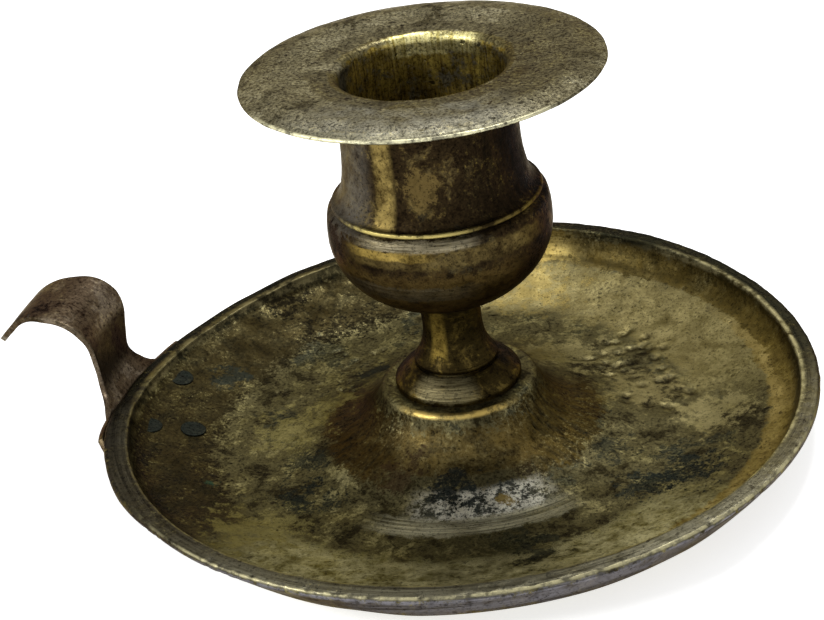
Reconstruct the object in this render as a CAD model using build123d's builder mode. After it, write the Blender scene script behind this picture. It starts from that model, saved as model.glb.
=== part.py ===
from build123d import *
import os
from math import acos, asin, atan2, cos, degrees, hypot, radians, sin, sqrt, tan

# Turned brass chamberstick: saucer pan with a raised boss, stem, urn cup, lift-out drip nozzle,
# and a curled sheet-metal finger loop held to the pan by three rivets.
# The candle axis is +Z, the pan stands on z = 0, and the finger loop points along -X. Sizes in mm.

# Drip pan: flat middle, rising flank, upright rim
rim_diameter = 108.0
rim_width = 2.8
rim_height = 8.2
pan_wall = 1.5
base_share = 0.685
flank_angle = 15.0
flank_blend_radius = 25.0
outer_wall_lean = 2.0
inner_wall_lean = 0.3
cove_radius = 1.4
knee_radius = 2.5
rim_inner_round = 0.25
rim_outer_round = 0.5
rim_band = 1.0

# Bell-shaped boss in the middle of the pan, hollow underneath
boss_height = 10.1
boss_top_diameter = 23.4
boss_waist_drop = 4.9
boss_waist_spread = 2.2
boss_waist_radius = 9.0
boss_foot_share = 0.676
boss_blend_share = 2.25
boss_edge_round = 0.5
boss_wall = 1.9
boss_top_wall = 2.2

# Stem: spreading foot, fine astragal, slim neck, tenons at both ends
stem_height = 14.1
stem_foot_diameter = 19.2
stem_foot_edge = 0.9
stem_foot_round = 0.7
stem_foot_rise = 3.3
stem_step_diameter = 14.3
stem_groove_diameter = 13.1
stem_groove_width = 0.35
astragal_diameter = 13.9
astragal_width = 0.85
stem_neck_diameter = 9.0
stem_neck_rise = 9.4
stem_top_diameter = 9.4
stem_top_flare = 2.6
tenon_diameter = 6.0
tenon_reach = 0.8
spigot_length = 4.4
seat_clearance = 0.05

# Square nut under the boss
nut_across_flats = 9.5
nut_thickness = 3.0
nut_chamfer = 0.5

# Urn-shaped candle cup
belly_diameter = 33.1
belly_height = 12.0
shoulder_diameter = 31.7
shoulder_rise = 4.3
bead_groove_depth = 0.55
bead_groove_width = 0.4
bead_width = 0.75
bead_proud = 0.22
flare_foot_diameter = 30.5
neck_diameter = 26.4
neck_rise = 14.3
cup_height = 35.9
cup_floor_thickness = 2.4
cup_floor_round = 2.0

# Lift-out drip nozzle: wide flange on a short tube that drops into the cup
flange_diameter = 52.4
flange_edge = 0.55
flange_thickness = 1.6
flange_roll_width = 4.6
lip_radius = 2.0
candle_bore = 23.4
tube_wall = 0.5
tube_length = 17.0
tube_clearance = 0.1

# Finger loop: one strip of sheet, riveted under the pan and curled over outside the rim
loop_thickness = 0.9
loop_neck_reach = 2.45
loop_curl_height = 14.7
loop_crown_reach = 13.2
loop_tip_reach = 19.4
loop_tip_height = 8.3
loop_knee_radius = 2.6
loop_neck_radius = 7.0
loop_curl_radius = 6.0
loop_crown_radius = 7.0
loop_root_width = 20.5
loop_root_round = 4.0
loop_waist_width = 10.4
loop_waist_rise = 2.6
loop_waist_round = 4.0
loop_curl_width = 15.4
loop_curl_rise = 12.2
loop_curl_round = 12.0
loop_tip_width = 6.8
loop_tip_round = 1.8
foot_width = 36.0
foot_drop = 0.75
foot_reach = 12.9
foot_inner_width = 15.0
foot_corner_round = 4.0
foot_top_cut = 1.8
seat_gap = 0.05

# Rivets, with their places on the flank given inwards from the rim
rivet_shank = 2.4
rivet_head = 3.9
rivet_head_height = 0.55
rivet_tail = 3.0
rivet_tail_height = 0.35
rivet_hole_clearance = 0.1
outer_rivet_inset = 5.7
inner_rivet_inset = 11.3
front_rivet_azimuth = 189.2
back_rivet_azimuth = 171.8
inner_rivet_azimuth = 188.0

# Overrun for cuts and trims
overrun = 5.0

# Radii and heights that follow from the sizes above
rim_radius = rim_diameter / 2
rim_inner_radius = rim_radius - rim_width
base_radius = rim_radius * base_share
flank_slope = tan(radians(flank_angle))
flank_wall = pan_wall / cos(radians(flank_angle))
flank_foot = base_radius - (flank_wall - pan_wall) / flank_slope
cove_foot = rim_inner_radius - inner_wall_lean
knee_foot = rim_radius - outer_wall_lean
knee_height = (knee_foot - base_radius) * flank_slope
cove_height = (cove_foot - base_radius) * flank_slope + flank_wall
boss_waist = (boss_top_diameter / 2 + boss_waist_spread, boss_height - boss_waist_drop)
boss_foot_radius = base_radius * boss_foot_share
boss_foot_blend = (boss_foot_radius - boss_waist[0]) * boss_blend_share
boss_roof = boss_height - boss_top_wall
collar_lean = atan2(boss_waist_spread, boss_waist_drop)
skirt_lean = atan2(boss_foot_radius - boss_waist[0], boss_waist[1] - pan_wall)
hollow_share = boss_wall / (1 + cos(skirt_lean - collar_lean))
hollow_waist = (
    boss_waist[0] - hollow_share * (cos(collar_lean) + cos(skirt_lean)),
    boss_waist[1] - hollow_share * (sin(collar_lean) + sin(skirt_lean)),
)
hollow_roof_radius = hollow_waist[0] - (boss_roof - hollow_waist[1]) * tan(collar_lean)
hollow_foot_radius = hollow_waist[0] + hollow_waist[1] * tan(skirt_lean)
tenon_hole = tenon_diameter / 2 + seat_clearance
cup_seat = boss_height + stem_height
belly_level = cup_seat + belly_height
bowl_depth = belly_height / sqrt(1 - (stem_top_diameter / belly_diameter) ** 2)
bowl_angle = degrees(acos(stem_top_diameter / belly_diameter))
shoulder_level = belly_level + shoulder_rise
bead_foot = shoulder_level + bead_groove_width
bead_top = bead_foot + bead_width
neck_foot = belly_level + neck_rise
cup_mouth = cup_seat + cup_height
tube_radius = candle_bore / 2 + tube_wall
cup_bore_radius = tube_radius + tube_clearance
cup_floor = cup_seat + spigot_length + cup_floor_thickness
flange_top = cup_mouth + flange_thickness


def upright(azimuth):
    """Plane through the candle axis, its x pointing out at an azimuth and its y pointing up."""
    turn = radians(azimuth)
    return Plane(origin=(0, 0, 0), x_dir=(cos(turn), sin(turn), 0), z_dir=(sin(turn), -cos(turn), 0))


def flank_plane(radius, azimuth):
    """Plane on the inside of the pan's flank, its z pointing off the metal into the pan."""
    turn = radians(azimuth)
    lean = sin(radians(flank_angle))
    level = (radius - base_radius) * flank_slope + flank_wall
    return Plane(
        origin=(radius * cos(turn), radius * sin(turn), level),
        x_dir=(-sin(turn), cos(turn), 0),
        z_dir=(-lean * cos(turn), -lean * sin(turn), cos(radians(flank_angle))),
    )


outer_rivet_radius = rim_radius - outer_rivet_inset
inner_rivet_radius = rim_radius - inner_rivet_inset
rivet_planes = {
    "handle_rivet_front": flank_plane(outer_rivet_radius, front_rivet_azimuth),
    "handle_rivet_back": flank_plane(outer_rivet_radius, back_rivet_azimuth),
    "handle_rivet_inner": flank_plane(inner_rivet_radius, inner_rivet_azimuth),
}

# Drip pan with its boss: one turned section, bored for the stem and drilled for the rivets
with BuildPart() as drip_pan:
    with BuildSketch(Plane.XZ):
        with BuildLine():
            FilletPolyline(
                (tenon_hole, boss_height),
                (boss_top_diameter / 2, boss_height),
                boss_waist,
                (boss_foot_radius, pan_wall),
                (flank_foot, pan_wall),
                (cove_foot, cove_height),
                (rim_inner_radius, rim_height),
                (rim_radius, rim_height),
                (rim_radius, rim_height - rim_band),
                (knee_foot, knee_height),
                (base_radius, 0),
                (hollow_foot_radius, 0),
                hollow_waist,
                (hollow_roof_radius, boss_roof),
                (tenon_hole, boss_roof),
                radius=[
                    0,
                    boss_edge_round,
                    boss_waist_radius,
                    boss_foot_blend,
                    flank_blend_radius,
                    cove_radius,
                    rim_inner_round,
                    rim_outer_round,
                    0,
                    knee_radius,
                    flank_blend_radius + pan_wall,
                    boss_foot_blend - boss_wall,
                    boss_waist_radius,
                    boss_edge_round,
                    0,
                ],
                close=True,
            )
        make_face()
    revolve(axis=Axis.Z)
    with Locations(*rivet_planes.values()):
        Cylinder((rivet_shank + rivet_hole_clearance) / 2, overrun, mode=Mode.SUBTRACT)
drip_pan.part.label = "drip_pan"

# Stem, turned in one piece with a tenon below the foot and a spigot above the neck
foot_top = boss_height + stem_foot_rise
astragal_foot = foot_top + stem_groove_width
astragal_top = astragal_foot + astragal_width
neck_level = boss_height + stem_neck_rise
tenon_end = boss_roof - nut_thickness - tenon_reach
spigot_radius = tenon_diameter / 2
with BuildPart() as stem:
    with BuildSketch(Plane.XZ):
        with BuildLine():
            FilletPolyline(
                (0, tenon_end),
                (tenon_diameter / 2, tenon_end),
                (tenon_diameter / 2, boss_height),
                (stem_foot_diameter / 2, boss_height),
                (stem_foot_diameter / 2, boss_height + stem_foot_edge),
                (stem_step_diameter / 2, foot_top),
                (stem_groove_diameter / 2, foot_top),
                (stem_groove_diameter / 2, astragal_foot),
                radius=[0, 0, 0, stem_foot_round, 0, 0],
            )
            ThreePointArc(
                (stem_groove_diameter / 2, astragal_foot),
                (astragal_diameter / 2, (astragal_foot + astragal_top) / 2),
                (stem_groove_diameter / 2, astragal_top),
            )
            TangentArc(
                (stem_neck_diameter / 2, neck_level),
                (stem_groove_diameter / 2, astragal_top),
                tangent=(0, -1),
            )
            Line((stem_neck_diameter / 2, neck_level), (stem_neck_diameter / 2, cup_seat - stem_top_flare))
            TangentArc(
                (stem_neck_diameter / 2, cup_seat - stem_top_flare),
                (stem_top_diameter / 2, cup_seat),
                tangent=(0, 1),
            )
            Polyline(
                (stem_top_diameter / 2, cup_seat),
                (spigot_radius, cup_seat),
                (spigot_radius, cup_seat + spigot_length),
                (0, cup_seat + spigot_length),
                (0, tenon_end),
            )
        make_face()
    revolve(axis=Axis.Z)
stem.part.label = "stem"

# Square nut that draws the stem down onto the boss
with BuildPart() as stem_nut:
    with BuildSketch(Plane.XY.offset(boss_roof - nut_thickness)):
        Rectangle(nut_across_flats, nut_across_flats)
        Circle(tenon_hole, mode=Mode.SUBTRACT)
    extrude(amount=nut_thickness)
    chamfer(stem_nut.faces().sort_by(Axis.Z)[0].outer_wire().edges(), length=nut_chamfer)
stem_nut.part.label = "stem_nut"

# Candle cup: round bowl, beaded shoulder, waisted neck, bored for the nozzle and socketed for the stem
spigot_hole = spigot_radius + seat_clearance
with BuildPart() as candle_cup:
    with BuildSketch(Plane.XZ):
        with BuildLine():
            EllipticalCenterArc(
                (0, belly_level), belly_diameter / 2, bowl_depth, -bowl_angle, arc_size=bowl_angle
            )
            TangentArc(
                (belly_diameter / 2, belly_level),
                (shoulder_diameter / 2, shoulder_level),
                tangent=(0, 1),
            )
            Polyline(
                (shoulder_diameter / 2, shoulder_level),
                (shoulder_diameter / 2 - bead_groove_depth, shoulder_level + bead_groove_width / 2),
                (flare_foot_diameter / 2, bead_foot),
            )
            ThreePointArc(
                (flare_foot_diameter / 2, bead_foot),
                (flare_foot_diameter / 2 + bead_proud, (bead_foot + bead_top) / 2),
                (flare_foot_diameter / 2, bead_top),
            )
            TangentArc((neck_diameter / 2, neck_foot), (flare_foot_diameter / 2, bead_top), tangent=(0, -1))
            Polyline(
                (neck_diameter / 2, neck_foot),
                (neck_diameter / 2, cup_mouth),
                (cup_bore_radius, cup_mouth),
            )
            FilletPolyline(
                (cup_bore_radius, cup_mouth),
                (cup_bore_radius, cup_floor),
                (0, cup_floor),
                radius=cup_floor_round,
            )
            Polyline(
                (0, cup_floor),
                (0, cup_seat + spigot_length + seat_clearance),
                (spigot_hole, cup_seat + spigot_length + seat_clearance),
                (spigot_hole, cup_seat),
                (stem_top_diameter / 2, cup_seat),
            )
        make_face()
    revolve(axis=Axis.Z)
candle_cup.part.label = "candle_cup"

# Drip nozzle: tube, lip rolled out into a wide flange, edge rolled down a little
flange_radius = flange_diameter / 2
flange_edge_top = cup_mouth + flange_edge
with BuildPart() as drip_nozzle:
    with BuildSketch(Plane.XZ):
        with BuildLine():
            Polyline(
                (candle_bore / 2, flange_top - lip_radius),
                (candle_bore / 2, cup_mouth - tube_length),
                (tube_radius, cup_mouth - tube_length),
                (tube_radius, cup_mouth),
                (flange_radius - flange_edge / 2, cup_mouth),
            )
            ThreePointArc(
                (flange_radius - flange_edge / 2, cup_mouth),
                (flange_radius, cup_mouth + flange_edge / 2),
                (flange_radius - flange_edge / 2, flange_edge_top),
            )
            TangentArc(
                (flange_radius - flange_roll_width, flange_top),
                (flange_radius - flange_edge / 2, flange_edge_top),
                tangent=(1, 0),
            )
            Line((flange_radius - flange_roll_width, flange_top), (candle_bore / 2 + lip_radius, flange_top))
            TangentArc(
                (candle_bore / 2 + lip_radius, flange_top),
                (candle_bore / 2, flange_top - lip_radius),
                tangent=(-1, 0),
            )
        make_face()
    revolve(axis=Axis.Z)
drip_nozzle.part.label = "drip_nozzle"

# Finger loop: the bent strip's section is swung about the candle axis, so that its foot hugs the pan,
# and then trimmed to its tongue outline from the front and from above
strip_lift = seat_gap + loop_thickness / 2
wall_lean = asin(outer_wall_lean / hypot(outer_wall_lean, rim_height - rim_band - knee_height))
flank_lean = radians(flank_angle)
knee_normal = (sin(flank_lean) + cos(wall_lean), -cos(flank_lean) - sin(wall_lean))
knee_share = 1 / (1 + sin(flank_lean) * cos(wall_lean) + cos(flank_lean) * sin(wall_lean))
strip_knee = (
    knee_foot + strip_lift * knee_share * knee_normal[0],
    knee_height + strip_lift * knee_share * knee_normal[1],
)
foot_inner_radius = rim_radius - foot_reach
foot_end = (
    foot_inner_radius,
    strip_knee[1] - (strip_knee[0] - foot_inner_radius) * flank_slope,
)
neck_radius_out = rim_radius + loop_neck_reach
neck_start = (neck_radius_out, strip_knee[1] + (neck_radius_out - strip_knee[0]) / tan(wall_lean))
curl_top = rim_height + loop_curl_height
curl_corner = (neck_radius_out, curl_top)
crown_corner = (rim_radius + loop_crown_reach, curl_top)
loop_tip = (rim_radius + loop_tip_reach, rim_height + loop_tip_height)
foot_swing = 2 * degrees(asin((foot_width / 2 + overrun) / knee_foot))
foot_top_level = rim_height - foot_drop
waist_level = rim_height + loop_waist_rise
curl_level = rim_height + loop_curl_rise
taper_start = neck_radius_out + loop_thickness
tip_shoulder = (loop_tip_round - loop_tip[0], loop_tip_width / 2)
with BuildPart() as finger_loop:
    with BuildSketch(upright(180 - foot_swing / 2)):
        with BuildLine() as strip_path:
            FilletPolyline(
                foot_end,
                strip_knee,
                neck_start,
                curl_corner,
                crown_corner,
                loop_tip,
                radius=[loop_knee_radius, loop_neck_radius, loop_curl_radius, loop_crown_radius],
            )
        trace(line_width=loop_thickness)
    revolve(axis=Axis.Z, revolution_arc=foot_swing)
    # Outline from the front: wide foot, drawn-in waist, broad curl
    with BuildSketch(Plane.YZ):
        with BuildLine():
            for side in (1, -1):
                FilletPolyline(
                    (0, -overrun),
                    (side * foot_width / 2, -overrun),
                    (side * foot_width / 2, foot_top_level - foot_top_cut),
                    (side * (foot_width / 2 - foot_top_cut), foot_top_level),
                    (side * loop_root_width / 2, foot_top_level),
                    (side * loop_waist_width / 2, waist_level),
                    (side * loop_curl_width / 2, curl_level),
                    (side * loop_curl_width / 2, curl_top + overrun),
                    (0, curl_top + overrun),
                    radius=[0, 0, 0, loop_root_round, loop_waist_round, loop_curl_round, 0],
                )
        make_face()
    extrude(amount=rim_diameter, dir=(-1, 0, 0), mode=Mode.INTERSECT)
    # Outline from above: foot drawn in under the pan, curl tapering to a rounded tip
    with BuildSketch(Plane.XY):
        with BuildLine():
            for side in (1, -1):
                FilletPolyline(
                    (-foot_inner_radius, 0),
                    (-foot_inner_radius, side * foot_inner_width / 2),
                    (-knee_foot, side * (foot_width / 2 + overrun)),
                    (-taper_start, side * (foot_width / 2 + overrun)),
                    (-taper_start, side * loop_curl_width / 2),
                    radius=[foot_corner_round, 0, 0],
                )
                TangentArc(
                    (-taper_start, side * loop_curl_width / 2),
                    (tip_shoulder[0], side * tip_shoulder[1]),
                    tangent=(-1, 0),
                )
            ThreePointArc(
                tip_shoulder,
                (-loop_tip[0] - loop_thickness / 2, 0),
                (tip_shoulder[0], -tip_shoulder[1]),
            )
        make_face()
    extrude(amount=curl_top + overrun, dir=(0, 0, 1), mode=Mode.INTERSECT)
    with Locations(*rivet_planes.values()):
        Cylinder((rivet_shank + rivet_hole_clearance) / 2, overrun + overrun, mode=Mode.SUBTRACT)
finger_loop.part.label = "finger_loop"

# Rivet: low round head inside the pan, shank through pan and strip, flattened tail underneath
grip = pan_wall + seat_gap + loop_thickness + seat_gap
with BuildPart() as rivet:
    with BuildSketch(Plane.XZ):
        with BuildLine():
            TangentArc(
                (0, seat_gap + rivet_head_height),
                (rivet_head / 2, seat_gap),
                tangent=(1, 0),
            )
            Polyline(
                (rivet_head / 2, seat_gap),
                (rivet_shank / 2, seat_gap),
                (rivet_shank / 2, -grip),
                (rivet_tail / 2, -grip),
            )
            TangentArc(
                (0, -grip - rivet_tail_height),
                (rivet_tail / 2, -grip),
                tangent=(1, 0),
            )
            Line((0, -grip - rivet_tail_height), (0, seat_gap + rivet_head_height))
        make_face()
    revolve(axis=Axis.Z)

os.makedirs("parts", exist_ok=True)
for piece in (drip_pan, stem, stem_nut, candle_cup, drip_nozzle, finger_loop):
    export_step(piece.part, f"parts/{piece.part.label}.step")
for name, place in rivet_planes.items():
    with BuildPart() as handle_rivet:
        with Locations(place):
            add(rivet.part)
    handle_rivet.part.label = name
    export_step(handle_rivet.part, f"parts/{name}.step")
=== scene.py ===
from math import acos, atan, atan2, ceil, cos, degrees, hypot, pi, radians, sin, sqrt, tan
from random import Random

import bmesh
import bpy
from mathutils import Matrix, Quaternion, Vector


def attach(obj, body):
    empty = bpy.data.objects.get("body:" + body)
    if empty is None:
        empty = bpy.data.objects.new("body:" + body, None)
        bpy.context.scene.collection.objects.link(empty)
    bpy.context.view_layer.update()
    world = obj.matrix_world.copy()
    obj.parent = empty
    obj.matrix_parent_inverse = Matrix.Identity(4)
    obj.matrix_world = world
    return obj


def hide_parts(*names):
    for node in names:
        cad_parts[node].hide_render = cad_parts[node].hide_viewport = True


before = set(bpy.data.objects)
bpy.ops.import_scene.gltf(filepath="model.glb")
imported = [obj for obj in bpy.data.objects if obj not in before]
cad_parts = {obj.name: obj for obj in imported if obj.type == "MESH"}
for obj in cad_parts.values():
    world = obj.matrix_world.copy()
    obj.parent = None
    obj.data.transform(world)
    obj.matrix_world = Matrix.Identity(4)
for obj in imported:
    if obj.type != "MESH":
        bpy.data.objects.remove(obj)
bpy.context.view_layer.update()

bl_info = {
    "name": "Brass chamberstick",
    "version": (1, 0, 0),
    "blender": (4, 5, 0),
    "location": "View3D > Sidebar > Chamberstick",
    "description": "Models an aged brass chamberstick around its packed solids",
    "category": "Object",
}

MM = 0.001
STICK = "stick"
NOZZLE = "nozzle"

# Doubles closer than the first are merged, and the second is the play of a plain end in its hole
MERGE_DISTANCE = 0.002 * MM
PLAY = 0.05 * MM
SMOOTH_ANGLE = radians(35)

# Sizes of the patterns that all the metals share: the swirls that ruffle a stain and how far they
# move it, its tattered edges, streaks that run down, pits and the relief of the grain; and how
# deep a dent is that is darkened fully, with dirt and painted shade
SWIRL = 5 * MM
DRIFT = 4 * MM
TATTER = 2.6 * MM
DRIP = 7 * MM
PIT_PITCH = 1.6 * MM
BUMP_DEPTH = 0.1 * MM
FULL_DENT = 0.3 * MM


def linear(code):
    """Turns an sRGB hex colour into linear red, green, blue and an alpha of one.

    A colour that is linear already, such as a property's, is passed on.
    """
    if not isinstance(code, str):
        return code
    parts = [int(code[place:place + 2], 16) / 255 for place in (1, 3, 5)]
    curve = (c / 12.92 if c <= 0.04045 else ((c + 0.055) / 1.055) ** 2.4 for c in parts)
    return (*curve, 1.0)


def in_mm(size):
    """A size in metres, as millimetres."""
    return size / MM


def length(label, words, size):
    """A length property, its default given in millimetres."""
    return bpy.props.FloatProperty(
        name=label, description=words, default=size * MM, unit="LENGTH", precision=5
    )


def angle(label, words, size):
    """An angle property, its default given in degrees."""
    return bpy.props.FloatProperty(
        name=label, description=words, default=radians(size), subtype="ANGLE"
    )


def colour(label, words, code):
    """A colour property, its default given as an sRGB hex value."""
    return bpy.props.FloatVectorProperty(
        name=label, description=words, default=linear(code), subtype="COLOR", size=4,
        min=0.0, max=1.0,
    )


def point(label, words, place):
    """A place property, its default given in millimetres."""
    return bpy.props.FloatVectorProperty(
        name=label, description=words, default=tuple(part * MM for part in place), size=3,
        subtype="TRANSLATION", unit="LENGTH", precision=5,
    )


class PanSizes(bpy.types.PropertyGroup):
    """Sizes of the drip pan and its boss"""

    rim_diameter: length("Rim diameter", "Across the outside of the rim", 108.0)
    rim_width: length("Rim width", "Width of the flat on top of the rim", 2.8)
    rim_height: length("Rim height", "Top of the rim above the table", 8.2)
    rim_band: length("Rim band", "Upright edge at the top of the outer wall", 1.0)
    wall: length("Wall", "Thickness of the pan's metal", 1.5)
    base_diameter: length("Base diameter", "Across the flat that the pan stands on", 73.98)
    flank: angle("Flank", "Rise of the pan towards its rim", 15.0)
    flank_round: length("Flank round", "Blend from the flat middle to the flank", 25.0)
    outer_lean: length("Outer lean", "How far the outer wall draws in at its foot", 2.0)
    inner_lean: length("Inner lean", "How far the inner wall draws in at its foot", 0.6)
    cove: length("Cove", "Round between flank and inner wall", 4.2)
    knee: length("Knee", "Round between outer wall and underside", 2.5)
    boss_height: length("Boss height", "Top of the boss above the table", 10.1)
    boss_top: length("Boss top", "Across the flat on top of the boss", 23.4)
    boss_waist_drop: length("Boss waist drop", "From the boss's top down to its waist", 4.9)
    boss_waist_spread: length(
        "Boss waist spread", "How far the boss spreads from top to waist", 2.2
    )
    boss_waist_round: length("Boss waist round", "Round of the boss's waist", 9.0)
    boss_foot: length("Boss foot", "Across the foot of the boss", 50.01)
    boss_blend: length("Boss blend", "Round between the boss's foot and the pan", 24.97)
    boss_wall: length("Boss wall", "Thickness of the boss's side", 1.9)
    boss_roof: length("Boss roof", "Thickness of the boss's top", 2.2)
    stem_hole: length("Stem hole", "Across the hole for the stem's tenon", 6.1)


class StemSizes(bpy.types.PropertyGroup):
    """Sizes of the stem"""

    height: length("Height", "From the boss to the cup", 14.1)
    foot: length("Foot", "Across the spreading foot", 19.2)
    foot_edge: length("Foot edge", "Upright edge of the foot", 0.9)
    foot_round: length("Foot round", "Round of that edge", 0.7)
    foot_rise: length("Foot rise", "From the boss to the step above the foot", 3.3)
    foot_swell: length("Foot swell", "How far the foot swells out below the step", 0.2)
    step: length("Step", "Across the step above the foot", 13.1)
    groove: length("Groove", "Across the groove under the astragal", 12.4)
    groove_width: length("Groove width", "Height of that groove", 0.2)
    astragal: length("Astragal", "Across the fine ring above the foot", 12.7)
    astragal_width: length("Astragal width", "Height of that ring", 0.85)
    neck: length("Neck", "Across the slim neck", 9.0)
    neck_rise: length("Neck rise", "Where the neck turns straight, above the boss", 9.4)
    top: length("Top", "Across the stem where it meets the cup", 9.4)
    top_flare: length("Top flare", "Length of the flare below the cup", 2.6)
    tenon: length("Tenon", "Across the plain ends", 6.0)
    tenon_end: length("Tenon end", "Height of the tenon's end above the table", 4.1)
    spigot: length("Spigot", "Length of the plain end in the cup", 4.4)


class CupSizes(bpy.types.PropertyGroup):
    """Sizes of the candle cup"""

    height: length("Height", "From the stem to the cup's mouth", 35.9)
    belly: length("Belly", "Across the bowl at its widest", 33.1)
    belly_height: length("Belly height", "Where the bowl is widest, above the stem", 12.0)
    shoulder: length("Shoulder", "Across the shoulder under the bead", 31.7)
    shoulder_rise: length("Shoulder rise", "From the widest place to the shoulder", 4.3)
    bead_groove: length("Bead groove", "Depth of the groove under the bead", 0.45)
    bead_groove_width: length("Bead groove width", "Height of that groove", 0.3)
    bead: length("Bead", "Height of the bead", 0.75)
    bead_proud: length("Bead proud", "How far the bead stands out", 0.22)
    flare_foot: length("Flare foot", "Across the cup at the bead", 30.5)
    neck: length("Neck", "Across the straight neck", 25.9)
    neck_rise: length("Neck rise", "From the widest place to the straight neck", 14.3)
    bore: length("Bore", "Across the hole for the nozzle's tube", 24.6)
    floor: length("Floor", "Thickness of metal above the stem's spigot", 2.4)
    floor_round: length("Floor round", "Round between floor and bore", 2.0)


class NozzleSizes(bpy.types.PropertyGroup):
    """Sizes of the lift-out drip nozzle"""

    flange: length("Flange", "Across the wide flange", 52.4)
    edge: length("Edge", "Thickness of the flange at its edge", 0.55)
    thickness: length("Thickness", "Thickness of the flange at its ridge", 1.3)
    dish: length("Dish", "How far the flange sinks from its ridge to the candle hole", 0.7)
    roll: length("Roll", "Width over which the edge rolls down", 4.6)
    lip: length("Lip", "Round of the lip around the candle hole", 1.3)
    hole: length("Hole", "Across the candle hole", 24.0)
    tube_wall: length("Tube wall", "Thickness of the tube", 0.2)
    tube: length("Tube", "Length of the tube below the flange", 17.0)


class LoopSizes(bpy.types.PropertyGroup):
    """Sizes of the curled finger loop"""

    thickness: length("Thickness", "Thickness of the sheet", 0.9)
    seat: length("Seat", "Gap between the sheet and the pan", 0.05)
    neck_reach: length("Neck reach", "From the rim out to the upright neck", 2.45)
    curl_height: length("Curl height", "From the rim up to the curl", 14.7)
    crown_reach: length("Crown reach", "From the rim out to the end of the crown", 13.2)
    tip_reach: length("Tip reach", "From the rim out to the tip", 19.4)
    tip_height: length("Tip height", "From the rim up to the tip", 8.3)
    knee: length("Knee", "Bend at the pan's lower edge", 2.6)
    neck_bend: length("Neck bend", "Bend at the foot of the neck", 7.0)
    curl_bend: length("Curl bend", "Bend at the top of the neck", 6.0)
    crown_bend: length("Crown bend", "Bend at the end of the crown", 7.0)
    root: length("Root", "Width where the tongue leaves the foot", 20.5)
    waist: length("Waist", "Width at the narrowest place of the neck", 10.4)
    waist_rise: length("Waist rise", "From the rim up to the waist", 1.8)
    curl: length("Curl", "Width of the curl", 15.4)
    curl_rise: length("Curl rise", "From the rim up to the full width", 12.2)
    tip: length("Tip", "Width at the shoulders of the tip", 6.8)
    tip_round: length("Tip round", "Length of the rounded end", 1.8)
    foot: length("Foot", "Width of the foot along the outer wall", 36.0)
    foot_cut: length("Foot cut", "Cut-off corners of the foot", 1.8)
    foot_drop: length("Foot drop", "From the rim down to the top of the foot", 0.75)
    foot_reach: length("Foot reach", "From the rim in to the foot's inner end", 12.9)
    foot_end: length("Foot end", "Width of the foot's inner end", 15.0)
    edge_round: length("Edge round", "Worn round of the sheet's edges", 0.18)


class RivetSizes(bpy.types.PropertyGroup):
    """Sizes and places of the rivets"""

    head: length("Head", "Across the head inside the pan", 4.0)
    head_height: length("Head height", "Height of that head", 0.2)
    shank: length("Shank", "Across the shank", 2.4)
    tail: length("Tail", "Across the flattened tail", 3.0)
    tail_height: length("Tail height", "Height of the tail", 0.35)
    front_inset: length("Front inset", "From the rim in to the front one", 4.9)
    back_inset: length("Back inset", "From the rim in to the back one", 5.3)
    inner_inset: length("Inner inset", "From the rim in to the inner one", 11.4)
    front: angle("Front", "Where the front rivet sits around the pan", 189.2)
    back: angle("Back", "Where the back rivet sits around the pan", 171.8)
    inner: angle("Inner", "Where the inner rivet sits around the pan", 188.0)


class FinishColours(bpy.types.PropertyGroup):
    """Colours of the aged metal"""

    pan_dark: colour("Pan dark", "Deepest tarnish in the pan", "#272314")
    pan_mid: colour("Pan middle", "Usual tarnish in the pan", "#48432d")
    pan_light: colour("Pan light", "Thinnest tarnish in the pan", "#6d6646")
    stem_dark: colour("Stem dark", "Deepest tarnish on the stem", "#171106")
    stem_mid: colour("Stem middle", "Usual tarnish on the stem", "#2b230f")
    stem_light: colour("Stem light", "Thinnest tarnish on the stem", "#4a3e1e")
    cup_dark: colour("Cup dark", "Deepest tarnish on the cup", "#171008")
    cup_mid: colour("Cup middle", "Usual tarnish on the cup", "#271e11")
    cup_light: colour("Cup light", "Thinnest tarnish on the cup", "#433922")
    nozzle_dark: colour("Nozzle dark", "Deepest tarnish on the flange", "#3f3b2b")
    nozzle_mid: colour("Nozzle middle", "Usual tarnish on the flange", "#6a6552")
    nozzle_light: colour("Nozzle light", "Thinnest tarnish on the flange", "#8d8873")
    loop_dark: colour("Loop dark", "Deepest tarnish on the finger loop", "#20160e")
    loop_mid: colour("Loop middle", "Usual tarnish on the finger loop", "#4a3f33")
    loop_light: colour("Loop light", "Thinnest tarnish on the finger loop", "#665b4e")
    bright: colour("Bright brass", "Metal worn bare on edges", "#c2b47a")
    flake: colour("Flake", "Thin tarnish where flakes have come off in the pan", "#968c60")
    gold: colour("Gold", "Brass that keeps its yellow", "#7d6a2c")
    slate: colour("Slate", "Blue-black stains", "#1f2420")
    lilac: colour("Lilac", "Grey film on the outer wall", "#77757a")
    ash: colour("Ash", "Dark streaks in that film", "#3c3a39")
    # Soot is dirt in pits and real soot stains; in grooves and dents it is also painted shade
    soot: colour("Soot", "Dirt in pits and grooves", "#0c0a05")
    iron: colour("Iron", "Rivet heads", "#1e211d")


class StageSettings(bpy.types.PropertyGroup):
    """Camera and light"""

    eye: point("Eye", "Where the camera stands", (69.47, -259.28, 163.87))
    aim: point("Aim", "What the camera looks at", (-5.54, -1.61, 22.23))
    roll: angle("Roll", "How far the camera is tipped sideways", -7.46)
    lens: bpy.props.FloatProperty(
        name="Lens", description="Focal length", default=88.64, unit="CAMERA"
    )
    ambient: bpy.props.FloatProperty(
        name="Ambient", description="Light from all round", default=0.45, min=0.0
    )


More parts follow.
